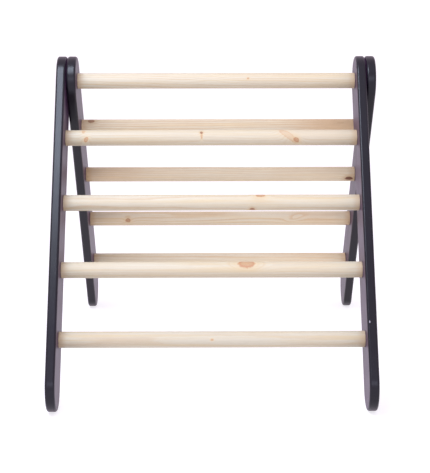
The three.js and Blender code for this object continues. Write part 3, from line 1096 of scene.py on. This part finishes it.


# The back ladder's rungs are painted lighter than the front ladder's: their higher second numbers are
# painted light as well as the wood's own tone.
RUNG_GRAIN = {
    "top_rung": Grain(
        3.0, 0.96, 0.2, 0.5, 1.3, (0.615, 25, 1.6, 1.3, 0, 0.1), (0.48, 16, 3.0, 5.0, 0, -1),
        ends=(0, 0.08, 0.01)),
    "front_rung_1": Grain(
        8.0, 0.94, 0.1, 0.35, 1.2, (0.063, 64, 2.8, 1.5, 70, -0.15), (0.072, -2, 3.4, 1.4, 60, 0.0),
        (0.467, 26, 1.6, 3.6, 90, -0.05), (0.466, 50, 2.5, 1.0, 0, 0.7),
        (0.761, 31, 5.6, 3.2, -36, -0.26), (0.791, -7, 4.0, 1.4, -40, 0.25), ends=(0, 0.15, 0.04)),
    "front_rung_2": Grain(
        14.0, 0.96, 0.05, 0.45, 1.4, (0.6645, 75, 4.6, 1.8, 0, 0.15), (0.637, -44, 2.9, 1.6, 0, 0.65),
        ends=(0, 0, 0.03)),
    "front_rung_3": Grain(
        21.0, 0.945, 0.05, 0.4, 1.3, (0.6155, 72, 10.2, 1.38, 0, 0.14), ends=(0, 0, 0.03)),
    "front_rung_4": Grain(
        29.0, 0.895, 0.0, 0.4, 1.5, (0.50, 16, 1.6, 1.4, 0, -0.1), ends=(0.1, 0, 0.025)),
    "back_rung_1": Grain(
        33.0, 1.26, 0.3, 0.75, 1.5, (0.035, 62, 4.8, 1.3, 0, 0.55), (0.93, 40, 2.0, 3.0, 0, -0.35),
        ends=(0.1, 0.95, 0.02)),
    "back_rung_2": Grain(
        41.0, 1.12, 0.65, 0.6, 1.4, (0.978, -28, 3.8, 2.0, 0, 0.95), ends=(0.55, 0, 0.06)),
    "back_rung_3": Grain(
        47.0, 1.11, 0.2, 0.9, 1.7, (0.146, -2, 4.0, 1.25, 0, 0.35), (0.786, 14, 3.6, 3.0, 20, -1),
        ends=(0.3, 0.3, 0.10)),
    "back_rung_4": Grain(52.0, 1.21, 0.2, 0.6, 1.4, ends=(0, 0.25, 0.17)),
}


class FRAME_OT_rungs(bpy.types.Operator):
    """Build the nine pine rungs"""

    bl_idname = "climbing_frame.rungs"
    bl_label = "Rungs"

    def execute(self, context):
        settings = context.scene.frame_rungs
        finish = pine(settings)
        tree = rung_tree()
        for node, grain in RUNG_GRAIN.items():
            self.build(node, grain, settings, finish, tree)
        return {"FINISHED"}

    def build(self, node, grain, settings, finish, tree):
        long = length(node) + 2 * (FIT_GAP - SEAT_GAP)
        insert, depth = "front_outer_insert_1", 36 * MM
        if node == "top_rung":
            insert, depth = "pivot_insert_left", 42 * MM
        bore = diameter(insert) / 2 + FIT_GAP
        profile = rung_profile(long, RUNG_DIAMETER / 2, settings.edge, bore, depth)
        bow = Vector((0, math.cos(grain.seed), math.sin(grain.seed))) * 0.25 * MM
        values = {"Sides": settings.sides, "Length": long, "Centre": middle(node), "Bow": bow,
                  "seed": grain.seed, "paleness": grain.paleness, "nature": grain.nature,
                  "ends": grain.ends, "Material": finish}
        for i, (share, turn, radius, stretch, lean, darkness) in enumerate(grain.knots):
            values[f"knot_{i + 1}"] = ((share - 0.5) * long, math.radians(turn), radius * MM)
            values[f"form_{i + 1}"] = (stretch, math.radians(lean), darkness)
        made = tidy(grown(f"{node}_dowel", line_mesh(node, profile), tree, values))
        dress(made, None, body_of(node), "rung_pine", node)


METALS = {"black_steel": (0.42, 0.7), "zinc_steel": (0.34, 0.3), "brass": (0.36, 0.3)}


def fitting_finish(name):
    """A fitting's material, made the first time that it is asked for. METALS: roughness, wear."""
    made = bpy.data.materials.get(name)
    colour = getattr(bpy.context.scene.frame_fittings, name)
    if name == "nylon":
        return made or nylon(colour)
    return made or metal(name, colour, *METALS[name])


class FRAME_OT_bolts(bpy.types.Operator):
    """Build the rows of bolts and threaded inserts that hold the ladder rungs"""

    bl_idname = "climbing_frame.bolts"
    bl_label = "Bolts and Inserts"

    def execute(self, context):
        tree = row_tree()
        for ladder in LADDERS:
            for role in ("outer", "inner"):
                self.row(ladder, role, "bolt", countersunk_bolt, "black_steel", "bolt_black_steel", tree)
                self.row(ladder, role, "insert", lambda n: threaded_insert(n, bore=3.1 * MM), "brass",
                         "insert_brass", tree)
        return {"FINISHED"}

    def row(self, ladder, role, kind, make, finish, slot, tree):
        """One row of like fittings down a rail, as one piece."""
        nodes = [f"{ladder.side}_{role}_{kind}_{i + 1}" for i in range(len(ladder.rungs))]
        on_right = middle(f"{ladder.side}_{role}_rail").x > 0
        first, last = middle(nodes[0]), middle(nodes[-1])
        start = span(nodes[0])[on_right] if kind == "bolt" else sum(span(nodes[0])) / 2
        step = (last - first) / (len(nodes) - 1)
        values = {"Count": len(nodes), "First": (start, first.y, first.z), "Step": (0, step.y, step.z),
                  "Facing": (0, 0, math.pi if on_right else 0), "Material": fitting_finish(finish)}
        made = tidy(grown(f"{ladder.side}_{role}_{kind}s", make(nodes[0]), tree, values))
        dress(made, None, ladder.body, slot, *nodes)


class FRAME_OT_pivot(bpy.types.Operator):
    """Build the bolt, sleeve, insert and spacer at each end of the top rung"""

    bl_idname = "climbing_frame.pivot"
    bl_label = "Pivot"

    def execute(self, context):
        for end, on_right in (("left", False), ("right", True)):
            bolt = f"pivot_bolt_{end}"
            turn = Matrix.Rotation(math.pi if on_right else 0, 4, "Z")
            head = Matrix.Translation((span(bolt)[on_right], PIVOT.y, PIVOT.z))
            self.single(bolt, pivot_bolt(bolt), head @ turn, "black_steel", "bolt_black_steel")
            for kind, make, finish, slot in (
                    ("sleeve", lambda n: ring_piece(n, bore=4.3 * MM, ease=0.4 * MM),
                     "zinc_steel", "pin_steel"),
                    ("insert", lambda n: threaded_insert(n, bore=4.1 * MM), "brass", "insert_brass"),
                    ("spacer", lambda n: ring_piece(n, bore=6.3 * MM, ease=0.15 * MM),
                     "nylon", "spacer_nylon")):
                node = f"pivot_{kind}_{end}"
                self.single(node, make(node), Matrix.Translation(middle(node)), finish, slot)
        return {"FINISHED"}

    def single(self, node, mesh, placement, finish, slot):
        mesh.transform(placement)
        made = tidy(new_object(f"{node}_turned", mesh))
        dress(made, fitting_finish(finish), "front_ladder", slot, node)


class FRAME_OT_pins(bpy.types.Operator):
    """Build the two stop pins and the top rung's locating pin"""

    bl_idname = "climbing_frame.pins"
    bl_label = "Pins"

    def execute(self, context):
        tree = pin_tree()
        for node in ("front_stop_pin", "back_stop_pin", "locating_pin"):
            values = {"Sides": 40, "Centre": middle(node), "Material": fitting_finish("zinc_steel")}
            made = tidy(grown(f"{node}_ground", solid_pin(node), tree, values))
            dress(made, None, body_of(node), "pin_steel", node)
        return {"FINISHED"}


class FRAME_OT_stage(bpy.types.Operator):
    """Set the floor, the lights and the camera"""

    bl_idname = "climbing_frame.stage"
    bl_label = "Stage"

    def execute(self, context):
        settings = context.scene.frame_stage
        self.floor(settings)
        self.lights(context.scene, settings)
        self.camera(context.scene, settings)
        context.scene.view_settings.view_transform = "Standard"
        return {"FINISHED"}

    def floor(self, settings):
        half = 20.0
        mesh = bpy.data.meshes.new("floor")
        corners = [(-half, -half, 0), (half, -half, 0), (half, half, 0), (-half, half, 0)]
        mesh.from_pydata(corners, [], [(0, 1, 2, 3)])
        mesh.materials.append(floor_finish(settings.floor, settings.floor_glow))
        new_object("floor", mesh)

    def lights(self, scene, settings):
        world = bpy.data.worlds.new("pale_room")
        world.use_nodes = True
        w = Wires(world.node_tree)
        up = w.split(w.node("ShaderNodeTexCoord")["Generated"])[2]
        room = w.blend(w.ramp(up, 0.0, 0.35), colour4(settings.wall), colour4(settings.ceiling))
        w.feed(world.node_tree.nodes["Background"].inputs, {"Color": room})
        scene.world = world
        cool, plain = (0.88, 1.0, 1.2), (0.9, 0.97, 1.2)
        self.softbox("softbox_left", (-0.54, -1.0, 2.2), (0.68, 1.16), 0, settings.left_light, cool)
        self.softbox("strip_light", (-1.15, -1.0, 2.2), (0.22, 1.16), 0, settings.strip_light, cool)
        self.softbox("softbox_right", (0.75, -0.9, 2.2), (1.7, 1.4), 0, settings.right_light, plain)
        self.softbox("softbox_front", (0.0, -3.7, 1.7), (2.2, 1.2), 68, settings.front_light, plain)

    def softbox(self, name, place, size, tilt, brightness, colour):
        """A rectangular softbox that faces down, tilted up towards the back by some degrees."""
        light = bpy.data.lights.new(name, "AREA")
        light.shape, light.size, light.size_y = "RECTANGLE", size[0], size[1]
        light.energy = brightness * math.pi * size[0] * size[1]
        light.color = colour
        box = bpy.data.objects.new(name, light)
        box.location = place
        box.rotation_euler = (math.radians(tilt), 0, 0)
        bpy.context.scene.collection.objects.link(box)

    def camera(self, scene, settings):
        lens = bpy.data.cameras.new("camera")
        lens.lens, lens.sensor_width, lens.sensor_fit = settings.lens, 36.0, "AUTO"
        camera = bpy.data.objects.new("camera", lens)
        camera.rotation_mode = "QUATERNION"
        turn = (Matrix.Rotation(-settings.yaw, 3, "Z")
                @ Matrix.Rotation(math.pi / 2 - settings.pitch, 3, "X")
                @ Matrix.Rotation(settings.roll, 3, "Z"))
        camera.rotation_quaternion = turn.to_quaternion()
        camera.location = settings.eye
        scene.collection.objects.link(camera)
        scene.camera = camera


class FRAME_PT_panel(bpy.types.Panel):
    """The frame's settings and building steps"""

    bl_label = "Climbing Frame"
    bl_idname = "FRAME_PT_panel"
    bl_space_type = "VIEW_3D"
    bl_region_type = "UI"
    bl_category = "Climbing Frame"

    def draw(self, context):
        for name, group in SETTINGS.items():
            box = self.layout.box()
            box.label(text=group.__doc__.rstrip("."))
            for label in group.__annotations__:
                box.prop(getattr(context.scene, name), label)
        for step in STEPS:
            self.layout.operator(step.bl_idname)


STEPS = (FRAME_OT_stage, FRAME_OT_rails, FRAME_OT_rungs, FRAME_OT_bolts, FRAME_OT_pivot, FRAME_OT_pins)
CLASSES = (*SETTINGS.values(), *STEPS, FRAME_PT_panel)


def register():
    for cls in CLASSES:
        bpy.utils.register_class(cls)
    for name, group in SETTINGS.items():
        setattr(bpy.types.Scene, name, PointerProperty(type=group))


def unregister():
    for name in SETTINGS:
        delattr(bpy.types.Scene, name)
    for cls in reversed(CLASSES):
        bpy.utils.unregister_class(cls)


def main():
    register()
    for step in STEPS:
        getattr(bpy.ops.climbing_frame, step.bl_idname.split(".")[1])()


if __name__ == "__main__":
    main()
